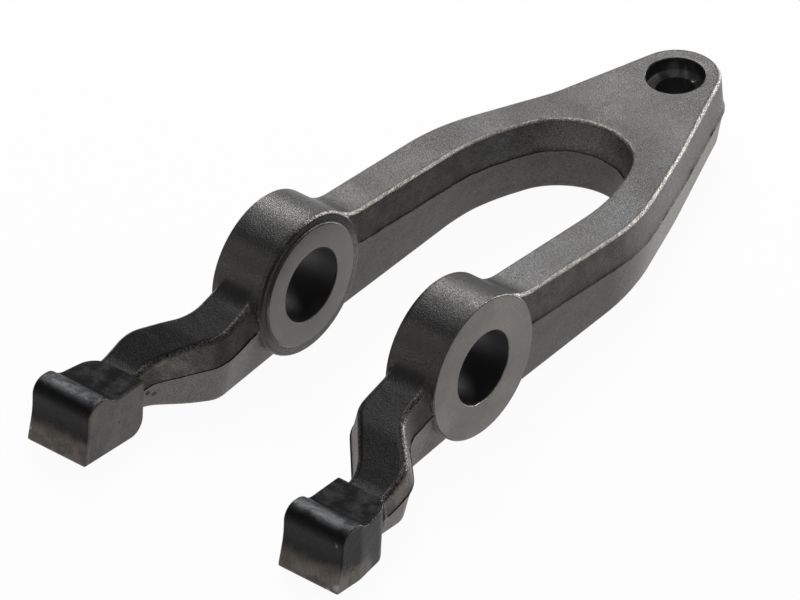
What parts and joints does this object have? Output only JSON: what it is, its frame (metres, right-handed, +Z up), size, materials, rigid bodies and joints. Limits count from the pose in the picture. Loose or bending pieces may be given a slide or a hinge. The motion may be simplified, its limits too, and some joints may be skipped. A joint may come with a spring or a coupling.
{
  "type": "clutch fork",
  "caption": "Forged steel clutch release fork: arms with pivot bosses, stepped-out toes with rounded thrust ridges, and a cupped tail for the actuator rod.",
  "frame": {"origin": "on the pivot axis, midway between the two bosses", "axes": "+Y along the pivot bores, +X towards the tail, +Z up out of the flat upper skin of the arms"},
  "size_m": [0.2085, 0.0996, 0.0443],
  "materials": {
    "forged_steel": "shot-blasted forging, machined at the bores and boss faces"
  },
  "bodies": {
    "root": {"clutch_fork": "forged_steel"}
  },
  "joints": []
}
